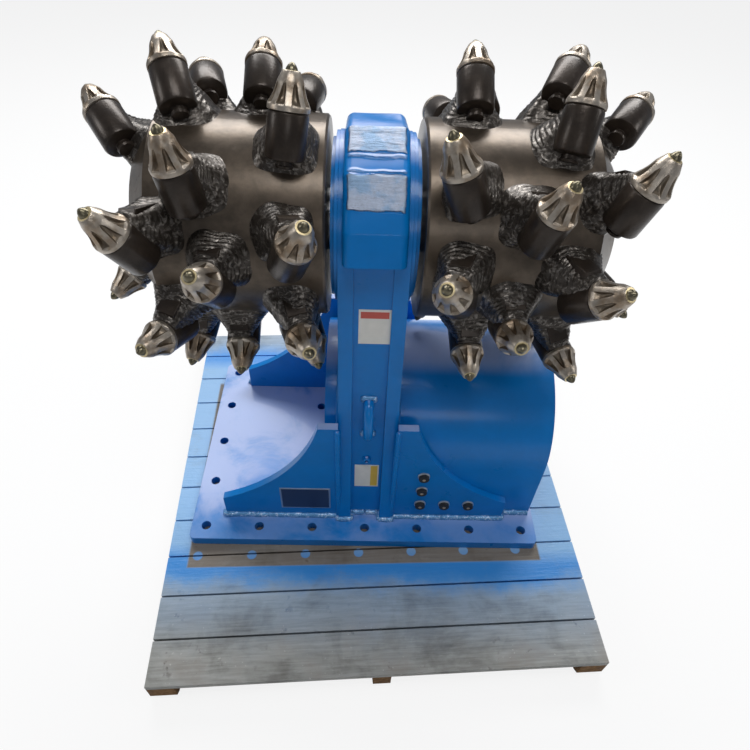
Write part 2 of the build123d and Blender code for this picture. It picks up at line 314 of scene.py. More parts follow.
def weld_metal(name, colour, crest, metallic):
    """Weld metal under thin paint: grainy, with bright crests, partly paint worn off the ripples
    and partly a painted highlight.
    """
    weld = Finish(name, Specular_IOR_Level=0.5, Coat_Weight=0.15, Coat_Roughness=0.2)
    grain = weld.noise(430.0, 4.0, 0.65)
    ripple = weld.noise(120.0, 5.0, 0.6, warp=1.2)
    # worn lightens the ripple crests: bare metal where the paint is worn, made brighter as a
    # painted highlight
    worn = (ripple - 0.49).step(0.0, 0.16)
    weld.bump(ripple, 0.0010, 0.8)
    weld.bump(grain, 0.0004, 0.7)
    base = weld.mix(worn * 0.6, weld.tint(colour, 0.6 + ripple * 0.8), crest)
    return weld.made(base, 0.20 + grain * 0.20, metallic + worn * 0.2)


def forged_steel(name, colour, metallic):
    """Forged pick steel: warm sheen, cast skin and brown haze."""
    steel = Finish(name, Specular_IOR_Level=0.5)
    steel.soften(0.0007)
    brown = [part * share for part, share in zip(colour, (0.62, 0.52, 0.42))]
    skin = steel.noise(150.0, 5.0, 0.65)
    haze = steel.noise(30.0, 4.0, 0.6)
    base = steel.tint(steel.mix(haze.step(0.42, 0.66), colour, brown), 0.70 + skin * 0.6)
    steel.bump(skin, 0.0005, 0.7)
    steel.bump(steel.noise(520.0, 2.0), 0.00015, 0.6)
    return steel.made(base, 0.27 + skin * 0.20, metallic - haze * 0.1)


def plain_metal(name, colour, roughness, metallic=1.0):
    """Machined or moulded small parts, with a fine grain."""
    metal = Finish(name, Specular_IOR_Level=0.5)
    grain = metal.noise(200.0, 3.0)
    metal.bump(grain, 0.0002, 0.5)
    base = metal.tint(colour, 0.85 + grain * 0.3)
    return metal.made(base, roughness + grain * 0.14, metallic - grain * 0.06)


def label_film(name, colour, roughness=0.34):
    """Plain film with a little soil."""
    film = Finish(name, Specular_IOR_Level=0.5)
    soil = film.noise(60.0, 4.0)
    film.bump(film.noise(220.0, 2.0), 0.0001, 0.4)
    return film.made(film.tint(colour, 0.86 + soil * 0.22), roughness + soil * 0.14)


def faced_paint(name, colour, strips, half_width):
    """Machine paint with worn hard facing strips, told apart by their turn about the drum axis."""
    cap = Finish(name, Specular_IOR_Level=0.25, Coat_Weight=0.2, Coat_Roughness=0.16)
    cap.soften(0.0016)
    bare, stained, cracked = (0.56, 0.64, 0.80), (0.26, 0.48, 0.76), (0.22, 0.24, 0.32)
    # the cap's paint carries the same painted lilac reflection as the frame's
    painted, gloss = paint_fields(cap, colour)
    x, y, z = cap.axes()
    ragged = cap.noise(38.0, 4.0, 0.6) - 0.5
    turn = y.math("ARCTAN2", y, z - AXIS_HEIGHT) * math.degrees(1.0) + ragged * 4.5
    inside = 1.0 - abs(x + ragged * 0.009).step(half_width - 0.002, half_width + 0.001)
    mask = None
    for start, end in strips:
        strip = turn.step(start - 0.5, start + 0.5) * (1.0 - turn.step(end - 0.5, end + 0.5))
        # the thin ridge beads get about a third of the facing's look: partly worn bead metal,
        # partly a painted highlight along the ridges
        if end - start < 5.0:
            strip = strip * 0.35
        mask = mask.high(strip) if mask else strip
    mask = mask * inside
    lay = cap.noise(70.0, 6.0, 0.66, stretch=(0.22, 1.0, 1.0), warp=0.5)
    fine = cap.noise(190.0, 5.0, 0.65)
    crack = (0.44 - abs(lay - 0.5) * 10.0).step(0.30, 0.44)
    stain = (cap.noise(26.0, 5.0, 0.6) - 0.46).step(0.0, 0.16)
    metal = cap.tint(cap.mix(stain * 0.7, bare, stained), 0.72 + fine * 0.5)
    metal = cap.mix(crack * 0.35, metal, cracked)
    cap.bump(lay * mask, 0.0040, 1.0)
    cap.bump(fine * mask, 0.0006, 0.8)
    return cap.made(cap.mix(mask, painted, metal), gloss + mask * (0.10 + fine * 0.2))


def turned(x, y, angle):
    """Fields along axes that are turned about Z."""
    cos_turn, sin_turn = math.cos(angle), math.sin(angle)
    return x * cos_turn + y * sin_turn, y * cos_turn - x * sin_turn


def far_from(x, y):
    """Distance from the middle of two fields."""
    return (x * x + y * y) ** 0.5


def deck_wood(name):
    """Weathered board with blue overspray round the plate and a bare strip beside it."""
    wood = Finish(name, Specular_IOR_Level=0.4)
    x, y, z = wood.axes()
    along, across = turned(x, y, math.radians(3.4))
    spot = wood.add("ShaderNodeCombineXYZ", values={0: along * 0.07, 1: across, 2: z})
    grain = wood.noise(190.0, 6.0, 0.62, warp=0.4, spot=spot)
    broad = wood.noise(26.0, 4.0, 0.6, spot=spot)
    stain = wood.noise(9.0, 6.0, 0.62, warp=0.5)
    blot = (wood.noise(42.0, 4.0, 0.6) - 0.60).step(0.0, 0.1) * (stain - 0.45).step(0.0, 0.15)
    fleck = (wood.noise(170.0, 2.0) - 0.68).step(0.0, 0.04) * (stain - 0.40).step(0.0, 0.2)
    greys = (
        (0.36, (0.120, 0.112, 0.096)),
        (0.50, (0.335, 0.335, 0.310)),
        (0.64, (0.570, 0.575, 0.550)),
    )
    base = wood.ramp(grain * 0.24 + broad * 0.20 + stain * 0.58, greys)
    base = wood.mix((stain - 0.50).step(0.0, 0.16) * 0.45, base, (0.19, 0.145, 0.105))
    base = wood.mix(blot * 0.7, base, (0.070, 0.050, 0.040))
    base = wood.mix(fleck * 0.8, base, (0.62, 0.62, 0.58))
    # overspray: a soft ring round the plate, ragged with noise
    ragged = (wood.noise(15.0, 5.0, 0.65) - 0.5) * 0.055
    out_x = (abs(x) - PLATE_HALF[0]).high(0.0) * 0.6
    out_y = (abs(y) - PLATE_HALF[1]).high(0.0)
    away = far_from(out_x, out_y) + ragged
    near = 1.0 - away.step(0.045, 0.105)
    far = 1.0 - away.step(0.09, 0.22)
    speckle = wood.noise(420.0, 2.0)
    thin = 0.60 + (stain - 0.30).step(0.0, 0.35) * 0.35 + speckle * 0.25
    spray = ((near * 0.74 + far * 0.40) * thin * (0.75 + grain * 0.55)).clamped()
    # bare strip where the plate's edge covered the deck, with a dot under each old hole
    strip_x, strip_y = turned(x, y, math.radians(2.2))
    in_x = 1.0 - abs(strip_x + 0.0055).step(0.327, 0.332)
    in_y = (strip_y + 0.2655).step(0.0, 0.004) * (1.0 - strip_y.step(0.19, 0.2))
    masked = in_x * in_y
    first_hole, hole_pitch, hole_row = 0.3187, 0.0997, 0.2405
    dots = None
    for i in range(7):
        reach = far_from(strip_x + first_hole - hole_pitch * i, strip_y + hole_row)
        dot = 1.0 - reach.step(0.0075, 0.0100)
        dots = dots.high(dot) if dots else dot
    base = wood.mix(masked * 0.65, base, (0.105, 0.072, 0.045))
    spray = (spray * (1.0 - masked)).high(dots * 0.85)
    blue = wood.mix(near * (out_y * 30.0).clamped(), (0.24, 0.46, 0.74), (0.035, 0.260, 0.680))
    wood.bump(grain, 0.0008, 0.8)
    wood.bump(wood.noise(60.0, 5.0, 0.65), 0.0010, 0.6)
    return wood.made(wood.mix(spray, base, blue), 0.66 - spray * 0.24 - grain * 0.1)


def stringer_wood(name):
    """Rough sawn end blocks, ochre and brown."""
    wood = Finish(name, Specular_IOR_Level=0.3)
    grain = wood.noise(150.0, 5.0, 0.6, stretch=(1.0, 0.08, 1.0))
    stain = wood.noise(24.0, 4.0)
    browns = (
        (0.30, (0.060, 0.032, 0.014)),
        (0.55, (0.230, 0.120, 0.045)),
        (0.80, (0.40, 0.25, 0.11)),
    )
    wood.bump(grain, 0.0014, 0.8)
    wood.bump(stain, 0.003, 0.4)
    return wood.made(wood.ramp(grain * 0.6 + stain * 0.4, browns), 0.74 + stain * 0.12)


def sharpen(piece, angle):
    """Keeps edges steeper than the angle crisp."""
    bm = bmesh.new()
    bm.from_mesh(piece.data)
    for edge in bm.edges:
        if len(edge.link_faces) == 2 and edge.calc_face_angle(0.0) > math.radians(angle):
            edge.smooth = False
    bm.to_mesh(piece.data)
    bm.free()


def polar(reach, angle, level):
    """A point at a distance and a turn from the Z axis, and a height along it."""
    return Vector((reach * math.cos(angle), reach * math.sin(angle), level))


class Skin:
    """Vertices and faces of several closed forms, gathered for one piece."""

    def __init__(self):
        self.verts = []
        self.faces = []
        self.slots = []

    def rings(self, rings, slot_of=lambda row, column: 0):
        """Joins rings of equal length into a skin, with flat ends."""
        start = len(self.verts)
        count = len(rings[0])
        for ring in rings:
            self.verts.extend(ring)
        for row in range(len(rings) - 1):
            for i in range(count):
                j = (i + 1) % count
                a = start + row * count
                self.faces.append((a + i, a + j, a + count + j, a + count + i))
                self.slots.append(slot_of(row, i))
        last = start + (len(rings) - 1) * count
        self.faces.append(tuple(start + count - 1 - i for i in range(count)))
        self.slots.append(slot_of(0, 0))
        self.faces.append(tuple(last + i for i in range(count)))
        self.slots.append(slot_of(len(rings) - 2, 0))

    def lathe(self, place, profile, steps):
        """Turns rows of (height, radius, finish) about the local Z of a matrix."""
        turns = [ROUND * i / steps for i in range(steps)]
        rings = []
        for height, radius, _ in profile:
            rings.append([place @ polar(radius, turn, height) for turn in turns])
        self.rings(rings, lambda row, column: profile[row + 1][2])

    def box(self, origin, up, out, width, height, depth, slot):
        """A thin plate with its width along X: origin is the middle of its back face."""
        rings = []
        for level, inset in ((0.0, 0.0), (depth * 0.7, 0.0), (depth, depth * 0.3)):
            half_w, half_h = width / 2 - inset, height / 2 - inset
            corners = ((-half_w, -half_h), (half_w, -half_h), (half_w, half_h), (-half_w, half_h))
            rings.append([origin + Vector((a, 0, 0)) + up * b + out * level for a, b in corners])
        self.rings(rings, lambda row, column: slot)

    def bead(self, path, radius, seed, slot=0):
        """A weld bead along a path, with the ripples of its passes."""
        step, ripple, sides, reach = 0.0013, 0.0042, 10, 3
        path = [Vector(point) for point in path]
        samples = [path[0]]
        for start, end in zip(path, path[1:]):
            count = max(1, round((end - start).length / step))
            samples += [start.lerp(end, (i + 1) / count) for i in range(count)]
        rings = []
        across = None
        last = len(samples) - 1
        shift = random.Random(seed).uniform(0.0, 9.0)
        for i, spot in enumerate(samples):
            ahead = (samples[min(i + reach, last)] - samples[max(i - reach, 0)]).normalized()
            across = across or ahead.orthogonal().normalized()
            across = (across - ahead * across.dot(ahead)).normalized()
            third = ahead.cross(across)
            run = i * step
            size = 1.0 + 0.10 * abs(math.sin(math.pi * run / ripple))
            size += 0.16 * noise.noise(Vector((run * 60, shift, 0)))
            if i in (0, last):
                size *= 0.4
            ring = []
            for j in range(sides):
                rough = 1.0 + 0.10 * noise.noise(spot * 420.0 + Vector((j, shift, 0)))
                arm = polar(radius * size * rough, ROUND * j / sides, 0.0)
                ring.append(spot + across * arm.x + third * arm.y)
            rings.append(ring)
        self.rings(rings, lambda row, column: slot)

    def piece(self, name, materials, body, slot):
        """A mesh object in the shared frame that rides on a body."""
        mesh = bpy.data.meshes.new(name)
        mesh.from_pydata([tuple(v) for v in self.verts], [], self.faces)
        for material in materials:
            mesh.materials.append(material)
        mesh.polygons.foreach_set("material_index", self.slots)
        mesh.polygons.foreach_set("use_smooth", [True] * len(mesh.polygons))
        mesh.update()
        piece = bpy.data.objects.new(name, mesh)
        bpy.context.scene.collection.objects.link(piece)
        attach(piece, body)
        return piece


class PickPlace:
    """Where one pick stands: its tip, its axis, and the frame of its holder."""

    # the search for the pick's long axis: a start that no pick stands square to, and its rounds
    START = Vector((0.31, 0.52, 0.79))
    ROUNDS = 60
    # how much of each end is measured, to tell the collar from the tip
    END = 0.004

    def __init__(self, points, tilt):
        centre = sum(points, Vector()) / len(points)
        around = [p - centre for p in points]
        spread = Matrix([[sum(p[i] * p[j] for p in around) for j in range(3)] for i in range(3)])
        axis = self.START
        for _ in range(self.ROUNDS):
            axis = (spread @ axis).normalized()
        reach = [p.dot(axis) for p in around]
        rows = [(r, (p - axis * r).length) for p, r in zip(around, reach)]
        low = max(radius for r, radius in rows if r < min(reach) + self.END)
        high = max(radius for r, radius in rows if r > max(reach) - self.END)
        if high > low:
            axis = -axis
            reach = [-r for r in reach]
        self.axis = axis
        self.tip = centre + axis * max(reach)
        self.seat = centre + axis * min(reach)
        radial = Vector((0.0, self.tip.y, self.tip.z - AXIS_HEIGHT)).normalized()
        self.ahead = Vector((0.0, radial.z, -radial.y))
        if self.ahead.dot(axis) < 0:
            self.ahead = -self.ahead
        self.up = (axis - self.ahead * math.sin(tilt)) / math.cos(tilt)
        self.up.normalize()
        self.across = self.ahead.cross(self.up)

    def local(self, ahead, up, across):
        return self.tip + self.ahead * ahead + self.up * up + self.across * across

    def along_axis(self):
        """Matrix with the pick's axis as local Z and the seat as origin."""
        third = self.axis.cross(self.across)
        turn = Matrix((self.across, third, self.axis)).transposed().to_4x4()
        return Matrix.Translation(self.seat) @ turn


def islands(node):
    """Corner points of each separate solid in a CAD node."""
    per_metre = 50000  # corners that fall on one step of this grid are one corner
    mesh = frame["nodes"][node].data
    keys = [tuple(round(c * per_metre) for c in v.co) for v in mesh.vertices]
    parent = {}

    def root(key):
        while parent.setdefault(key, key) != key:
            parent[key] = parent[parent[key]]
            key = parent[key]
        return key

    for polygon in mesh.polygons:
        first = root(keys[polygon.vertices[0]])
        for index in polygon.vertices[1:]:
            parent[root(keys[index])] = first
    groups = {}
    for key, vertex in zip(keys, mesh.vertices):
        groups.setdefault(root(key), {})[key] = vertex.co.copy()
    ordered = sorted(groups.values(), key=lambda group: min(group))
    return [list(group.values()) for group in ordered]


def drum_skin(point, profile, sink):
    """The nearest point on a drum's skin, sunk a little below it."""
    side = 1.0 if point.x > 0 else -1.0
    flat = Vector((abs(point.x), math.hypot(point.y, point.z - AXIS_HEIGHT)))
    best = None
    for start, end in zip(profile, profile[1:]):
        start, end = Vector(start), Vector(end)
        run = end - start
        share = max(0.0, min(1.0, (flat - start).dot(run) / run.length_squared))
        spot = start + run * share
        if best is None or (spot - flat).length < (best[0] - flat).length:
            best = (spot, Vector((run.y, -run.x)).normalized())
    spot, inward = best
    spot = spot + inward * sink
    turn = math.atan2(point.z - AXIS_HEIGHT, point.y)
    return Vector((side * spot.x, spot.y * math.cos(turn), AXIS_HEIGHT + spot.y * math.sin(turn)))


def web_front(height):
    """Front face of the leg's sloped web at a height."""
    return WEB_LEAN * (height - PLATE_TOP) + WEB_FOOT


def a_number(name, description, default):
    return bpy.props.FloatProperty(name=name, description=description, default=default)


def a_length(name, description, default):
    return bpy.props.FloatProperty(
        name=name, description=description, default=default, unit="LENGTH"
    )


def an_angle(name, description, degrees):
    return bpy.props.FloatProperty(
        name=name, description=description, default=math.radians(degrees), subtype="ANGLE"
    )


def a_count(name, description, default):
    return bpy.props.IntProperty(name=name, description=description, default=default)


def a_vector(name, description, default, subtype="COLOR"):
    """A colour, or a place in metres."""
    return bpy.props.FloatVectorProperty(
        name=name, description=description, default=default, subtype=subtype
    )


class PickSettings(bpy.types.PropertyGroup):
    tilt: an_angle("Pick tilt", "Lean of a pick ahead of the drum's radius", 32)
    scale: a_number("Pick size", "Size of a pick against its 52 mm pattern", 1.0)
    flutes: a_count("Flutes", "Grooves round the pick's skirt", 8)
    rib: a_length("Rib width", "Width of the ribs between the flutes", 0.0076)
    steel: a_vector("Pick steel", "Colour of the forged steel", (0.46, 0.405, 0.34))
    # flute_shade: a painted shade, the steel darkened in the bottoms of the flutes
    flute_shade: a_vector("Flute", "Colour in the bottom of the flutes", (0.22, 0.18, 0.135))
    carbide: a_vector("Tip", "Colour of the hard tip", (0.17, 0.15, 0.10))
    braze: a_vector("Braze ring", "Colour of the ring under the tip", (0.75, 0.62, 0.36))


class HolderSettings(bpy.types.PropertyGroup):
    radius: a_length("Sleeve radius", "Outer radius of a sleeve", 0.025)
    length: a_length("Sleeve length", "Length of a sleeve", 0.055)
    bar: a_length("Bar width", "Width of the bar under a sleeve", 0.028)
    bead: a_length("Mound bead", "Height of the beads on a mound", 0.0013)
    beads: a_count("Beads", "Beads laid over each other on a mound", 8)
    black: a_vector("Sleeve black", "Colour of sleeves and bars", (0.050, 0.037, 0.028))
    weld: a_vector("Mound", "Colour of the mounds", (0.050, 0.041, 0.033))


class PaintSettings(bpy.types.PropertyGroup):
    blue: a_vector("Machine blue", "Colour of the frame", (0.0, 0.186, 0.565))
    black: a_vector("Drum black", "Colour of the drums", (0.135, 0.105, 0.078))


class WeldSettings(bpy.types.PropertyGroup):
    radius: a_length("Frame weld", "Radius of the weld beads", 0.0060)
    colour: a_vector("Weld", "Colour of the painted weld", (0.10, 0.30, 0.58))
    # the crest colour is worn weld metal lightened into a painted highlight
    crest: a_vector("Weld crest", "Colour of its worn ripples", (0.72, 0.82, 0.92))


class CapSettings(bpy.types.PropertyGroup):
    width: a_length("Cap width", "Width of the wear cap", 0.086)
    edge: a_length("Cap edge", "Radius of the cap's worn side edges", 0.012)
    facing: a_length("Hard facing", "Height of the hard facing strips", 0.0016)


class LabelSettings(bpy.types.PropertyGroup):
    film: a_vector("Label", "Colour of the blank labels", (0.80, 0.78, 0.72))
    yellow: a_vector("Web label band", "Colour of its band", (0.72, 0.48, 0.06))
    red: a_vector("Top label band", "Colour of its band", (0.60, 0.10, 0.07))
    navy: a_vector("Name plate", "Colour of the blank plate", (0.012, 0.028, 0.085))


class PortSettings(bpy.types.PropertyGroup):
    radius: a_length("Port radius", "Outer radius of a port cap", 0.0093)
    zinc: a_vector("Port zinc", "Colour of the port caps", (0.55, 0.56, 0.58))


class StageSettings(bpy.types.PropertyGroup):
    focal_pixels: a_number("Focal length", "In pixels of a 750 pixel picture", 601.7)
    yaw: an_angle("Yaw", "Turn of the camera to the right", 2.2)
    pitch: an_angle("Pitch", "How far the camera looks down", 46.4)
    roll: an_angle("Roll", "Roll of the camera", -2.9)
    place: a_vector(
        "Camera place", "Where the camera stands", (-0.017, -0.7807, 1.054), "TRANSLATION"
    )
    light: a_number("Light level", "Radiance of the large lamps", 6.0)


GROUPS = {
    "cutter_picks": PickSettings,
    "cutter_holders": HolderSettings,
    "cutter_paint": PaintSettings,
    "cutter_welds": WeldSettings,
    "cutter_cap": CapSettings,
    "cutter_labels": LabelSettings,
    "cutter_ports": PortSettings,
    "cutter_stage": StageSettings,
}


def paint_node(name, material):
    """Gives a CAD node one finish."""
    mesh = frame["nodes"][name].data
    mesh.materials.clear()
    mesh.materials.append(material)


def finish_named(name, make, *values):
    """The material of that name, made once."""
    return bpy.data.materials.get(name) or make(name, *values)


def frame_blue(context):
    """The frame's paint, in the colour that the panel holds."""
    return finish_named("machine_blue", blue_paint, context.scene.cutter_paint.blue)


class CUTTER_OT_frame(bpy.types.Operator):
    """Paints the plate, leg, gussets, guard, flanges and eye"""

    bl_idname = "cutter.frame"
    bl_label = "Painted frame"

    def execute(self, context):
        blue = frame_blue(context)
        for name in frame["nodes"]:
            if frame["nodes"][name]["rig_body"] == STILL and not name.startswith("pallet"):
                paint_node(name, blue)
        motor = finish_named("motor_black", plain_metal, (0.03, 0.03, 0.03), 0.4, 0.1)
        paint_node("hydraulic_motor", motor)
        shaft = finish_named("shaft_steel", plain_metal, (0.45, 0.45, 0.46), 0.3)
        paint_node("drive_shaft", shaft)
        return {"FINISHED"}


class CUTTER_OT_drums(bpy.types.Operator):
    """Gives the drum shells their dark lacquer"""

    bl_idname = "cutter.drums"
    bl_label = "Drums"

    def execute(self, context):
        colour = context.scene.cutter_paint.black
        black = finish_named("drum_black", black_paint, colour, 0.68, 0.00010)
        for name in DRUM_SIDES:
            paint_node(name + "_drum", black)
        return {"FINISHED"}


class CUTTER_OT_picks(bpy.types.Operator):
    """Builds the fluted picks with their braze rings and hard tips"""

    bl_idname = "cutter.picks"
    bl_label = "Picks"

    # millimetres: height over the seat, rib radius, flute radius, finish
    ROWS = (
        (0.0, 24.0, 24.0, 0),
        (0.6, 25.3, 25.3, 0),
        (5.0, 25.5, 25.5, 0),
        (6.2, 25.3, 24.8, 0),
        (7.6, 24.7, 22.0, 0),
        (10.0, 23.4, 18.4, 0),
        (14.0, 21.2, 15.2, 0),
        (18.0, 19.5, 14.3, 0),
        (22.0, 18.0, 14.0, 0),
        (26.0, 16.9, 13.9, 0),
        (29.5, 16.1, 14.2, 0),
        (31.8, 15.6, 15.2, 0),
        (33.0, 15.1, 15.1, 0),
        (38.0, 12.6, 12.6, 0),
        (42.4, 10.4, 10.4, 0),
        (43.2, 9.5, 9.5, 0),
        (43.5, 7.2, 7.2, 1),
        (43.5, 7.0, 7.0, 2),
        (45.5, 6.6, 6.6, 2),
        (48.5, 4.8, 4.8, 2),
        (51.0, 2.4, 2.4, 2),
        (52.0, 0.6, 0.6, 2),
    )

    def ring(self, place, row, settings):
        """One ring of a pick, with eight points to a flute."""
        height, rib, flute, _ = self.ROWS[row]
        sector = ROUND / settings.flutes
        close = max(0.0, min(1.0, (height - 26.0) / 6.0))
        half = min(0.42 * sector, (settings.rib * 500.0 + 1.6 * close) / rib)
        wall = min(0.46 * sector, half + 1.3 / rib)
        bed = (wall + 0.5 * sector) / 2.0
        parts = (
            (0.0, rib + 0.15),
            (half, rib),
            (wall, flute + (rib - flute) * 0.16),
            (bed, flute + (rib - flute) * 0.03),
            (0.5 * sector, flute),
            (sector - bed, flute + (rib - flute) * 0.03),
            (sector - wall, flute + (rib - flute) * 0.16),
            (sector - half, rib),
        )
        scale = 0.001 * settings.scale
        ring = []
        for i in range(settings.flutes):
            for turn, radius in parts:
                spot = polar(radius * scale, i * sector + turn, height * scale)
                ring.append(place @ spot)
        return ring

    def slot_of(self, row, column):
        # slot 3 paints shade onto the flute faces between the ribs
        if 4 <= row <= 9 and 1 <= column % 8 <= 6:
            return 3
        return self.ROWS[row + 1][3]

    def execute(self, context):
        settings = context.scene.cutter_picks
        steel = finish_named("forged_pick_steel", forged_steel, settings.steel, 0.85)
        braze = finish_named("braze_ring", plain_metal, settings.braze, 0.34, 0.85)
        carbide = finish_named("hard_tip", plain_metal, settings.carbide, 0.24, 0.9)
        # the flute material carries the painted shade
        flute = finish_named("flute_steel", forged_steel, settings.flute_shade, 0.75)
        for name in DRUM_SIDES:
            skin = Skin()
            for points in islands(name + "_picks"):
                place = PickPlace(points, settings.tilt).along_axis()
                rings = [self.ring(place, row, settings) for row in range(len(self.ROWS))]
                skin.rings(rings, self.slot_of)
            finishes = [steel, braze, carbide, flute]
            piece = skin.piece(name + "_fluted_picks", finishes, TURNING, "pick_steel")
            sharpen(piece, 30)
            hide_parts(name + "_picks")
        return {"FINISHED"}


class CUTTER_OT_holders(bpy.types.Operator):
    """Builds the sleeves, their bars and the welded mounds under them"""

    bl_idname = "cutter.holders"
    bl_label = "Sleeves and mounds"

    # drum outline in distance from the middle and radius
    DRUM = ((0.0645, 0.141), (0.290, 0.141), (0.322, 0.098), (0.322, 0.0))
    # height from the sleeve's rear, and radius as a share of the sleeve's
    SLEEVE = (
        (-0.010, 0.30),
        (-0.010, 0.42),
        (-0.0065, 0.46),
        (-0.006, 0.40),
        (-0.001, 0.40),
        (0.000, 0.86),
        (0.0012, 0.95),
        (0.004, 1.00),
        (0.050, 1.00),
        (0.053, 0.975),
        (0.0545, 0.93),
        (0.055, 0.88),
    )
    # the bar's outline, ahead of the tip and above it
    BAR = ((-0.030, -0.053), (-0.016, -0.0615), (0.003, -0.066), (0.012, -0.104), (-0.036, -0.104))
    BAR_CHAMFER = 0.0009
    # the mound's middle ahead of the tip, and its top and foot: height, half length, half width
    MOUND_MIDDLE = -0.022
    MOUND_TOP = (-0.057, 0.020, 0.0178)
    MOUND_FOOT = (-0.106, 0.042, 0.043)
    # how square its outline is (2 is round), how it flares, and how deep it goes into the drum
    SQUARE, FLARE, SINK = 3.4, 1.4, 0.0012

    def mound(self, skin, spot, settings, seed):
        """A flared skirt of overlapping weld beads from the sleeve and bar down to the drum."""
        steps, rows = 64, 58
        shift = random.Random(seed).uniform(0.0, 9.0)
        high, top_ahead, top_across = self.MOUND_TOP
        low, foot_ahead, foot_across = self.MOUND_FOOT
        rings = []
        for row in range(rows):
            share = row / (rows - 1)
            hold = min(1.0, 8.0 * share) * min(1.0, 6.0 * (1.0 - share) + 0.2)
            ring = []
            for i in range(steps):
                angle = ROUND * i / steps
                c, s = math.cos(angle), math.sin(angle)
                corner = (abs(c) ** self.SQUARE + abs(s) ** self.SQUARE) ** (-1 / self.SQUARE)
                ahead, across = corner * c, corner * s
                ragged = 1.0 + 0.10 * noise.noise(Vector((c * 1.6 + shift, s * 1.6, 0)))
                top = spot.local(self.MOUND_MIDDLE + top_ahead * ahead, high, top_across * across)
                ahead, across = foot_ahead * ragged * ahead, foot_across * ragged * across
                foot = spot.local(self.MOUND_MIDDLE + ahead, low, across)
                landed = drum_skin(foot, self.DRUM, self.SINK)
                flat = top - landed
                flat -= spot.up * flat.dot(spot.up)
                level = top + (landed - top) * share + flat * (share - share ** self.FLARE)
                wave = noise.noise(level * 26.0 + Vector((shift, 0, 0)))
                curl = noise.noise(level * 75.0 + Vector((0, 0, shift)))
                grain = noise.noise(level * 240.0 + Vector((0, shift, 0)))
                depth = 0.65 + 0.7 * noise.noise(level * 34.0 + Vector((0, shift, 4.0)))
                turn = settings.beads * share + 2.4 * wave + 0.8 * curl + shift
                bead = abs(math.sin(math.pi * turn)) * 1.5 - 0.6
                lift = settings.bead * depth * bead + 0.0026 * wave + 0.0012 * curl + 0.0007 * grain
                out = (spot.ahead * c + spot.across * s).normalized()
                ring.append(level + out * hold * lift)
            rings.append(ring)
        skin.rings(rings, lambda row, column: 1)

    def bar(self, skin, spot, settings):
        """The block on the sleeve's leading side, with narrow chamfers."""
        middle = sum((Vector(point) for point in self.BAR), Vector((0, 0))) / len(self.BAR)
        half, edge = settings.bar / 2, self.BAR_CHAMFER
        rings = []
        for width, inset in ((-half, edge), (edge - half, 0.0), (half - edge, 0.0), (half, edge)):
            ring = []
            for point in self.BAR:
                point = Vector(point)
                point += (middle - point).normalized() * inset
                ring.append(spot.local(point.x, point.y, width))
            rings.append(ring)
        skin.rings(rings)

    def execute(self, context):
        settings = context.scene.cutter_holders
        picks = context.scene.cutter_picks
        satin = finish_named("sleeve_black", black_paint, settings.black, 0.45, 0.0004)
        # crest: bare metal on worn ripples, lightened into a painted glint
        crest = (0.34, 0.31, 0.28)
        weld = finish_named("mound_weld", weld_metal, settings.weld, crest, 0.6)
        profile = [(height, share * settings.radius, 0) for height, share in self.SLEEVE]
        for name, side in DRUM_SIDES.items():
            sleeves, mounds = Skin(), Skin()
            for index, points in enumerate(islands(name + "_picks")):
                spot = PickPlace(points, picks.tilt)
                place = spot.along_axis() @ Matrix.Translation((0, 0, -settings.length))
                sleeves.lathe(place, profile, 40)
                self.bar(sleeves, spot, settings)
                self.mound(mounds, spot, settings, 17 * index + side)
            sleeve_piece = sleeves.piece(name + "_sleeves", [satin], TURNING, "black_paint")
            sharpen(sleeve_piece, 25)
            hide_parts(name + "_pick_sleeves")
            mound_piece = mounds.piece(name + "_weld_mounds", [satin, weld], TURNING, "black_paint")
            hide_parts(name + "_pick_sleeves")
        return {"FINISHED"}


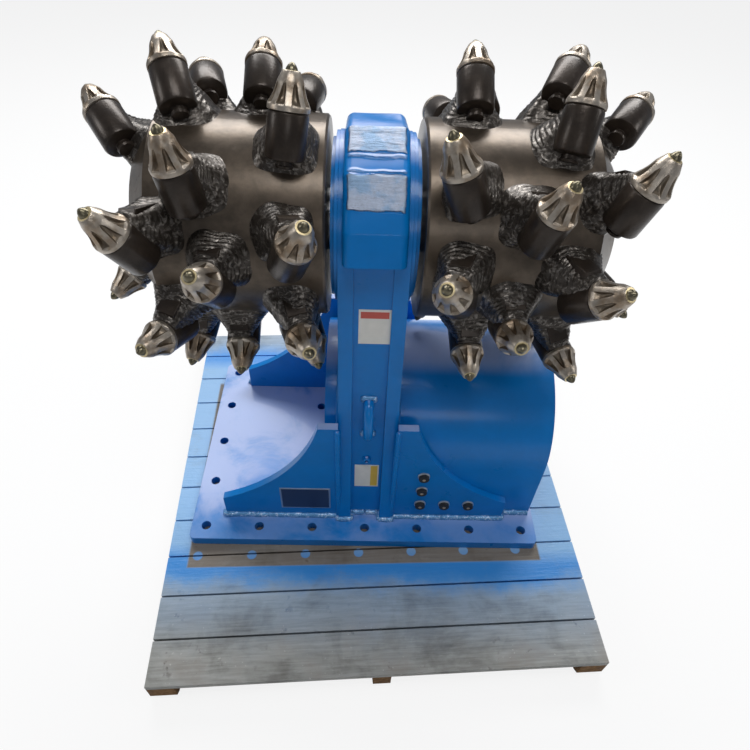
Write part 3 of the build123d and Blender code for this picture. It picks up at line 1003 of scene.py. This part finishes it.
class CUTTER_OT_cap(bpy.types.Operator):
    """Builds the wear cap with worn side edges and hard facing strips"""

    bl_idname = "cutter.cap"
    bl_label = "Wear cap"

    RADIUS = 0.148
    INNER = 0.1225
    BENDS = (-84.0, -66.0, -37.0, -6.0, 35.0, 64.0, 84.0)
    STRIPS = ((-23.0, -6.5), (-26.6, -24.2), (-35.6, -34.2), (-54.5, -37.0), (37.0, 54.5))
    HALF_STRIP = 0.0375
    # how far the paint lies under the outline, so that the hard facing ends on it
    UNDER = 0.0018

    def outline(self, turn):
        """Distance from the drum axis to the flat strip at a turn from the top."""
        for start, end in zip(self.BENDS, self.BENDS[1:]):
            if start <= turn <= end:
                half = math.radians(end - start) / 2
                middle = math.radians(start + end) / 2
                return self.RADIUS * math.cos(half) / math.cos(math.radians(turn) - middle)
        return self.RADIUS

    def facing_height(self, turn, across, settings):
        """Relief of the hard facing at a turn and a distance from the cap's middle."""
        rise = 0.0
        side = max(0.0, min(1.0, (self.HALF_STRIP + 0.001 - abs(across)) / 0.003))
        for start, end in self.STRIPS:
            ragged = 1.2 * noise.noise(Vector((across * 60, start, 0)))
            edge = min(turn - start - ragged, end - turn + ragged)
            inside = max(0.0, min(1.0, edge / 0.9 + 0.4))
            lay = noise.noise(Vector((across * 55, turn * 0.5, 1.0)))
            rise = max(rise, inside * side * settings.facing * (0.9 + 0.4 * lay))
        return rise

    def execute(self, context):
        settings = context.scene.cutter_cap
        half, edge = settings.width / 2, settings.edge
        blue = context.scene.cutter_paint.blue
        faced = finish_named("faced_cap_paint", faced_paint, blue, self.STRIPS, self.HALF_STRIP)
        start, end = self.BENDS[0], self.BENDS[-1]
        rows, columns = 300, 56
        skin = Skin()
        rings = []
        for row in range(rows + 1):
            turn = start + (end - start) * row / rows
            cos_turn, sin_turn = math.cos(math.radians(turn)), math.sin(math.radians(turn))
            outer = self.outline(turn)
            ring = []
            for column in range(columns + 1):
                across = -half + settings.width * column / columns
                beyond = max(0.0, abs(across) - (half - edge))
                drop = edge - math.sqrt(max(0.0, edge * edge - beyond * beyond))
                rise = self.facing_height(turn, across, settings)
                dent = 0.0007 * noise.noise(Vector((across * 20, turn * 0.09, 5.0)))
                reach = outer - drop - self.UNDER + rise + dent
                ring.append(Vector((across, reach * sin_turn, AXIS_HEIGHT + reach * cos_turn)))
            y, z = self.INNER * sin_turn, AXIS_HEIGHT + self.INNER * cos_turn
            ring += [Vector((across, y, z)) for across in (half, 0.0, -half)]
            rings.append(ring)
        skin.rings(rings)
        piece = skin.piece("faced_wear_cap", [faced], STILL, "blue_paint")
        sharpen(piece, 50)
        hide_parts("wear_cap")
        return {"FINISHED"}


class CUTTER_OT_welds(bpy.types.Operator):
    """Lays the weld beads round the leg, gussets, guard and eye"""

    bl_idname = "cutter.welds"
    bl_label = "Frame welds"

    GUARD_SIDE = 0.161
    GUARD_END = 0.320
    CASE_END = -0.0745

    def foot_paths(self):
        """Beads where the leg, gussets and guard meet the plate."""
        floor = PLATE_TOP + 0.0012
        outer = GUSSET_END + 0.001
        for side in (-1, 1):
            for out in (-1, 1):
                y, leg = out * (GUSSET_FACE + 0.001), out * LEG_FOOT
                yield [
                    (side * outer, y - out * 0.008, floor),
                    (side * outer, y, floor),
                    (side * (LEG_SIDE + 0.003), y, floor),
                    (side * (LEG_SIDE + 0.001), leg, floor),
                    (side * 0.0275, leg - out * 0.0015, floor),
                    (side * 0.0265, leg - out * 0.016, floor),
                    (0.0, leg - out * 0.0165, floor),
                ]
        for y in (-self.GUARD_SIDE, self.GUARD_SIDE):
            yield [(GUSSET_END + 0.004, y, floor), (self.GUARD_END, y, floor)]
        yield [(self.CASE_END, -0.158, floor), (self.CASE_END, 0.158, floor)]

    def edge_paths(self):
        """Beads up the corners between leg and gussets, and round the guard."""
        x = LEG_SIDE + 0.0008
        for side in (-x, x):
            for y in (-GUSSET_FACE - 0.001, GUSSET_FACE + 0.001):
                yield [(side, y, PLATE_TOP), (side, y, GUSSET_TOP - 0.004)]
        centre = GUARD_CROWN - 0.160
        for side, reach in ((x, 0.1612), (-x, 0.1617)):
            turns = [math.pi * i / 32 for i in range(33)]
            yield [(side, reach * math.cos(t), centre + reach * math.sin(t)) for t in turns]

    def eye_paths(self):
        """Beads over the eye's two ends."""
        x = 0.0095
        for height in (0.327, 0.247):
            y, low = web_front(height), height - 0.008
            yield [(-x, y + 0.001, low), (-x, y, height), (x, y, height), (x, y + 0.001, low)]

    def execute(self, context):
        settings = context.scene.cutter_welds
        weld = finish_named("frame_weld", weld_metal, settings.colour, settings.crest, 0.3)
        blue = frame_blue(context)
        skin = Skin()
        for index, path in enumerate(self.foot_paths()):
            skin.bead(path, settings.radius, index)
        for index, path in enumerate(self.edge_paths()):
            skin.bead(path, settings.radius * 0.75, 30 + index, 1)
        for index, path in enumerate(self.eye_paths()):
            skin.bead(path, settings.radius * 0.75, 50 + index)
        skin.piece("frame_welds", [weld, blue], STILL, "blue_paint")
        return {"FINISHED"}


class CUTTER_OT_labels(bpy.types.Operator):
    """Puts the blank name plate and the two blank labels on the frame"""

    bl_idname = "cutter.labels"
    bl_label = "Blank labels"

    def execute(self, context):
        settings = context.scene.cutter_labels
        white = finish_named("label_white", label_film, settings.film)
        yellow = finish_named("label_yellow", label_film, settings.yellow)
        red = finish_named("label_red", label_film, settings.red)
        navy = finish_named("label_navy", label_film, settings.navy, 0.3)
        rim = finish_named("plate_rim", plain_metal, (0.52, 0.54, 0.58), 0.3)
        skin = Skin()
        up, out = Vector((0, 0, 1)), Vector((0, -1, 0))
        plate = Vector((-0.1115, -GUSSET_FACE, 0.079))
        skin.box(plate, up, out, 0.093, 0.066, 0.0010, 0)
        skin.box(plate + out * 0.0009, up, out, 0.087, 0.060, 0.0005, 1)
        # the two labels on the web, each with its band: film and band stand off by film_lift
        film_lift = WEB_OUT * 0.0004
        low = Vector((0.00075, web_front(0.1305), 0.1305))
        low_band = low + Vector((0.0132, 0, 0)) + film_lift
        skin.box(low, WEB_UP, WEB_OUT, 0.0435, 0.061, 0.0005, 2)
        skin.box(low_band, WEB_UP, WEB_OUT, 0.0125, 0.056, 0.0003, 3)
        high = Vector((0.004, web_front(0.4695), 0.4695))
        high_band = high + WEB_UP * 0.0213 + film_lift
        skin.box(high, WEB_UP, WEB_OUT, 0.047, 0.062, 0.0005, 2)
        skin.box(high_band, WEB_UP, WEB_OUT, 0.041, 0.0115, 0.0003, 4)
        piece = skin.piece("blank_labels", [rim, navy, white, yellow, red], STILL, "blue_paint")
        sharpen(piece, 25)
        return {"FINISHED"}


class CUTTER_OT_ports(bpy.types.Operator):
    """Builds the capped ports, the hexagon plug and the bar eye"""

    bl_idname = "cutter.ports"
    bl_label = "Ports, plug and eye"

    PORTS = ((0.1025, 0.157), (0.1025, 0.113), (0.103, 0.067), (0.1485, 0.067), (0.194, 0.067))
    # height over the gusset, radius as a share of the port's, finish
    PORT = (
        (-0.0005, 1.18, 0),
        (0.0018, 1.18, 0),
        (0.0026, 1.02, 0),
        (0.0040, 1.00, 1),
        (0.0080, 1.00, 1),
        (0.0088, 0.88, 1),
        (0.0088, 0.32, 1),
        (0.0082, 0.26, 2),
        (0.0082, 0.02, 2),
    )
    # height over the web, radius, and whether the outline is a hexagon
    PLUG = (
        (-0.0005, 0.0076, 0.0),
        (0.0040, 0.0076, 0.0),
        (0.0062, 0.0064, 0.0),
        (0.0068, 0.0048, 0.0),
        (0.0068, 0.0036, 1.0),
        (0.0020, 0.0034, 1.0),
    )

    def ports(self, settings):
        """Zinc sleeves with black inserts, 13 to 15 mm above the CAD caps that they replace."""
        skin = Skin()
        turn = Matrix(((1, 0, 0), (0, 0, -1), (0, 1, 0))).to_4x4()
        profile = [(level, share * settings.radius, slot) for level, share, slot in self.PORT]
        for x, z in self.PORTS:
            skin.lathe(Matrix.Translation((x, -GUSSET_FACE, z)) @ turn, profile, 28)
        zinc = finish_named("port_zinc", plain_metal, settings.zinc, 0.28, 0.9)
        rubber = finish_named("port_black", plain_metal, (0.012, 0.012, 0.013), 0.45, 0.0)
        dot = finish_named("port_centre", plain_metal, (0.42, 0.34, 0.24), 0.4, 0.2)
        piece = skin.piece("capped_ports", [zinc, rubber, dot], STILL, "blue_paint")
        sharpen(piece, 30)
        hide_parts("port_caps")

    def plug(self, blue):
        """A low domed plug with a hexagon socket."""
        skin = Skin()
        height = (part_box("web_plug")[0][2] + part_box("web_plug")[1][2]) / 2
        turn = Matrix((Vector((1, 0, 0)), WEB_UP, WEB_OUT)).transposed().to_4x4()
        place = Matrix.Translation((0.0, web_front(height), height)) @ turn
        side, steps = math.pi / 3, 36
        rings = []
        for level, radius, six in self.PLUG:
            ring = []
            for i in range(steps):
                angle = ROUND * i / steps
                flat = math.cos(side / 2) / math.cos(angle % side - side / 2)
                ring.append(place @ polar(radius * (1.0 + (flat - 1.0) * six), angle, level))
            rings.append(ring)
        skin.rings(rings)
        piece = skin.piece("socket_plug", [blue], STILL, "blue_paint")
        sharpen(piece, 35)
        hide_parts("web_plug")

    def eye(self, blue):
        """A round bar bent into a loop, with its two ends on the web."""
        bar, out, foot = 0.0080, -0.0270, 0.006
        low, top = 0.2535, 0.3205
        y_low, y_top = web_front(low), web_front(top)
        corners = (
            (0, y_low + foot, low),
            (0, y_low + out * 0.62, low),
            (0, y_low + out, 0.2655),
            (0, y_top + out, 0.3025),
            (0, y_top + out * 0.45, top),
            (0, y_top + foot, top),
        )
        curve = bpy.data.curves.new("eye_line", "CURVE")
        curve.dimensions = "3D"
        line = curve.splines.new("NURBS")
        line.points.add(len(corners) - 1)
        for point, corner in zip(line.points, corners):
            point.co = (*corner, 1.0)
        line.order_u = 4
        line.use_endpoint_u = True
        line.resolution_u = 8
        curve.bevel_depth = bar
        curve.bevel_resolution = 4
        curve.use_fill_caps = True
        loop = bpy.data.objects.new("eye_line", curve)
        mesh = bpy.data.meshes.new_from_object(loop)
        bpy.data.objects.remove(loop)
        bpy.data.curves.remove(curve)
        mesh.materials.clear()
        mesh.materials.append(blue)
        mesh.polygons.foreach_set("use_smooth", [True] * len(mesh.polygons))
        piece = bpy.data.objects.new("bar_eye", mesh)
        bpy.context.scene.collection.objects.link(piece)
        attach(piece, STILL)
        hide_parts("lifting_eye")

    def execute(self, context):
        blue = frame_blue(context)
        self.ports(context.scene.cutter_ports)
        self.plug(blue)
        self.eye(blue)
        return {"FINISHED"}


class CUTTER_OT_pallet(bpy.types.Operator):
    """Gives the pallet its weathered boards and stringers"""

    bl_idname = "cutter.pallet"
    bl_label = "Pallet"

    def execute(self, context):
        paint_node("pallet_deck", finish_named("weathered_deck", deck_wood))
        paint_node("pallet_stringers", finish_named("stringer_wood", stringer_wood))
        return {"FINISHED"}


class CUTTER_OT_stage(bpy.types.Operator):
    """Sets the floor, lamps, world and camera"""

    bl_idname = "cutter.stage"
    bl_label = "Stage"

    # name, place, target, width, height, share of the light level
    LAMPS = (
        ("top_lamp", (0.1, -0.62, 2.25), (0.0, -0.05, 0.45), 1.0, 0.5, 1.1),
        ("back_lamp", (0.0, 1.66, 2.12), (0.0, 0.0, 0.45), 3.0, 0.90, 1.5),
        ("front_lamp", (0.3, -2.3, 1.55), (0.0, 0.0, 0.3), 0.9, 0.5, 0.4),
        ("left_lamp", (-2.1, -0.3, 1.3), (0.0, 0.0, 0.4), 0.5, 0.6, 1.0),
        ("right_lamp", (2.1, -0.2, 1.4), (0.0, 0.0, 0.4), 0.5, 0.6, 1.0),
    )

    def execute(self, context):
        settings = context.scene.cutter_stage
        scene = context.scene
        self.floor(CAD_BOX[0][2])
        self.world(scene)
        for name, place, target, width, height, share in self.LAMPS:
            self.lamp(name, place, target, width, height, settings.light * share)
        self.camera(scene, settings)
        scene.view_settings.view_transform = "Standard"
        return {"FINISHED"}

    def floor(self, height):
        """A pale floor that keeps the shadow and looks nearly white to the camera."""
        reach, whiteness = 6.0, 0.85
        corners = [(-reach, -reach), (reach, -reach), (reach, reach), (-reach, reach)]
        mesh = bpy.data.meshes.new("floor")
        mesh.from_pydata([(x, y, height) for x, y in corners], [], [(0, 1, 2, 3)])
        floor = bpy.data.objects.new("floor", mesh)
        bpy.context.scene.collection.objects.link(floor)
        grey = (0.90, 0.90, 0.90)
        finish = Finish("floor_white", Base_Color=grey, Roughness=0.9, Specular_IOR_Level=0.0)
        glow = finish.add("ShaderNodeEmission", values={0: (1.0, 1.0, 1.0), 1: 1.0})
        seen = finish.add("ShaderNodeLightPath") * whiteness
        shown = finish.add("ShaderNodeMixShader", values={0: seen, 1: finish.shader, 2: glow})
        finish.feed(finish.output.inputs[0], shown)
        mesh.materials.append(finish.material)

    def world(self, scene):
        """A dim cool room that the camera sees as white."""
        world = bpy.data.worlds.new("studio")
        world.use_nodes = True
        nodes = Nodes(world.node_tree)
        cool, dim = (0.84, 0.90, 1.0), 0.20
        room = nodes.add("ShaderNodeBackground", values={0: cool, 1: dim})
        white = nodes.add("ShaderNodeBackground", values={0: (1.0, 1.0, 1.0), 1: 1.0})
        seen = nodes.add("ShaderNodeLightPath")
        shown = nodes.add("ShaderNodeMixShader", values={0: seen, 1: room, 2: white})
        nodes.add("ShaderNodeOutputWorld", values={0: shown})
        scene.world = world

    def lamp(self, name, place, target, width, height, radiance):
        """A soft box whose surface has the given radiance."""
        data = bpy.data.lights.new(name, "AREA")
        data.shape = "RECTANGLE"
        data.size = width
        data.size_y = height
        data.energy = radiance * math.pi * width * height
        lamp = bpy.data.objects.new(name, data)
        bpy.context.scene.collection.objects.link(lamp)
        lamp.location = place
        aim = Vector(target) - Vector(place)
        lamp.rotation_euler = aim.to_track_quat("-Z", "Y").to_euler()

    def camera(self, scene, settings):
        """The camera at the photograph's viewing angle."""
        yaw, pitch, roll = settings.yaw, settings.pitch, settings.roll
        level = math.cos(pitch)
        ahead = Vector((math.sin(yaw) * level, math.cos(yaw) * level, -math.sin(pitch)))
        right = Vector((math.cos(yaw), -math.sin(yaw), 0.0))
        down = ahead.cross(right)
        turned_right = right * math.cos(roll) + down * math.sin(roll)
        turned_down = down * math.cos(roll) - right * math.sin(roll)
        data = bpy.data.cameras.new("camera")
        data.sensor_fit = "HORIZONTAL"
        data.sensor_width = 36.0
        picture_width = 750.0
        data.lens = data.sensor_width * settings.focal_pixels / picture_width
        camera = bpy.data.objects.new("camera", data)
        scene.collection.objects.link(camera)
        turn = Matrix((turned_right, -turned_down, -ahead)).transposed().to_4x4()
        camera.matrix_world = Matrix.Translation(Vector(settings.place)) @ turn
        scene.camera = camera


class CUTTER_PT_panel(bpy.types.Panel):
    """Lists the pieces of the drum cutter and their settings"""

    bl_label = "Drum cutter"
    bl_idname = "CUTTER_PT_panel"
    bl_space_type = "VIEW_3D"
    bl_region_type = "UI"
    bl_category = "Drum cutter"

    def draw(self, context):
        layout = self.layout
        for name, group in GROUPS.items():
            box = layout.box()
            settings = getattr(context.scene, name)
            for key in group.__annotations__:
                box.prop(settings, key)
        for operator in OPERATORS:
            layout.operator(operator.bl_idname)


OPERATORS = (
    CUTTER_OT_frame,
    CUTTER_OT_drums,
    CUTTER_OT_picks,
    CUTTER_OT_holders,
    CUTTER_OT_cap,
    CUTTER_OT_welds,
    CUTTER_OT_labels,
    CUTTER_OT_ports,
    CUTTER_OT_pallet,
    CUTTER_OT_stage,
)


CLASSES = (*GROUPS.values(), *OPERATORS, CUTTER_PT_panel)


def register():
    for part in CLASSES:
        bpy.utils.register_class(part)
    for name, group in GROUPS.items():
        setattr(bpy.types.Scene, name, bpy.props.PointerProperty(type=group))


def unregister():
    for name in GROUPS:
        delattr(bpy.types.Scene, name)
    for part in reversed(CLASSES):
        bpy.utils.unregister_class(part)


def build():
    """Registers the add-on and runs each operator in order."""
    register()
    bpy.ops.cutter.frame()
    bpy.ops.cutter.drums()
    bpy.ops.cutter.picks()
    bpy.ops.cutter.holders()
    bpy.ops.cutter.cap()
    bpy.ops.cutter.welds()
    bpy.ops.cutter.labels()
    bpy.ops.cutter.ports()
    bpy.ops.cutter.pallet()
    bpy.ops.cutter.stage()


if __name__ == "__main__":
    build()
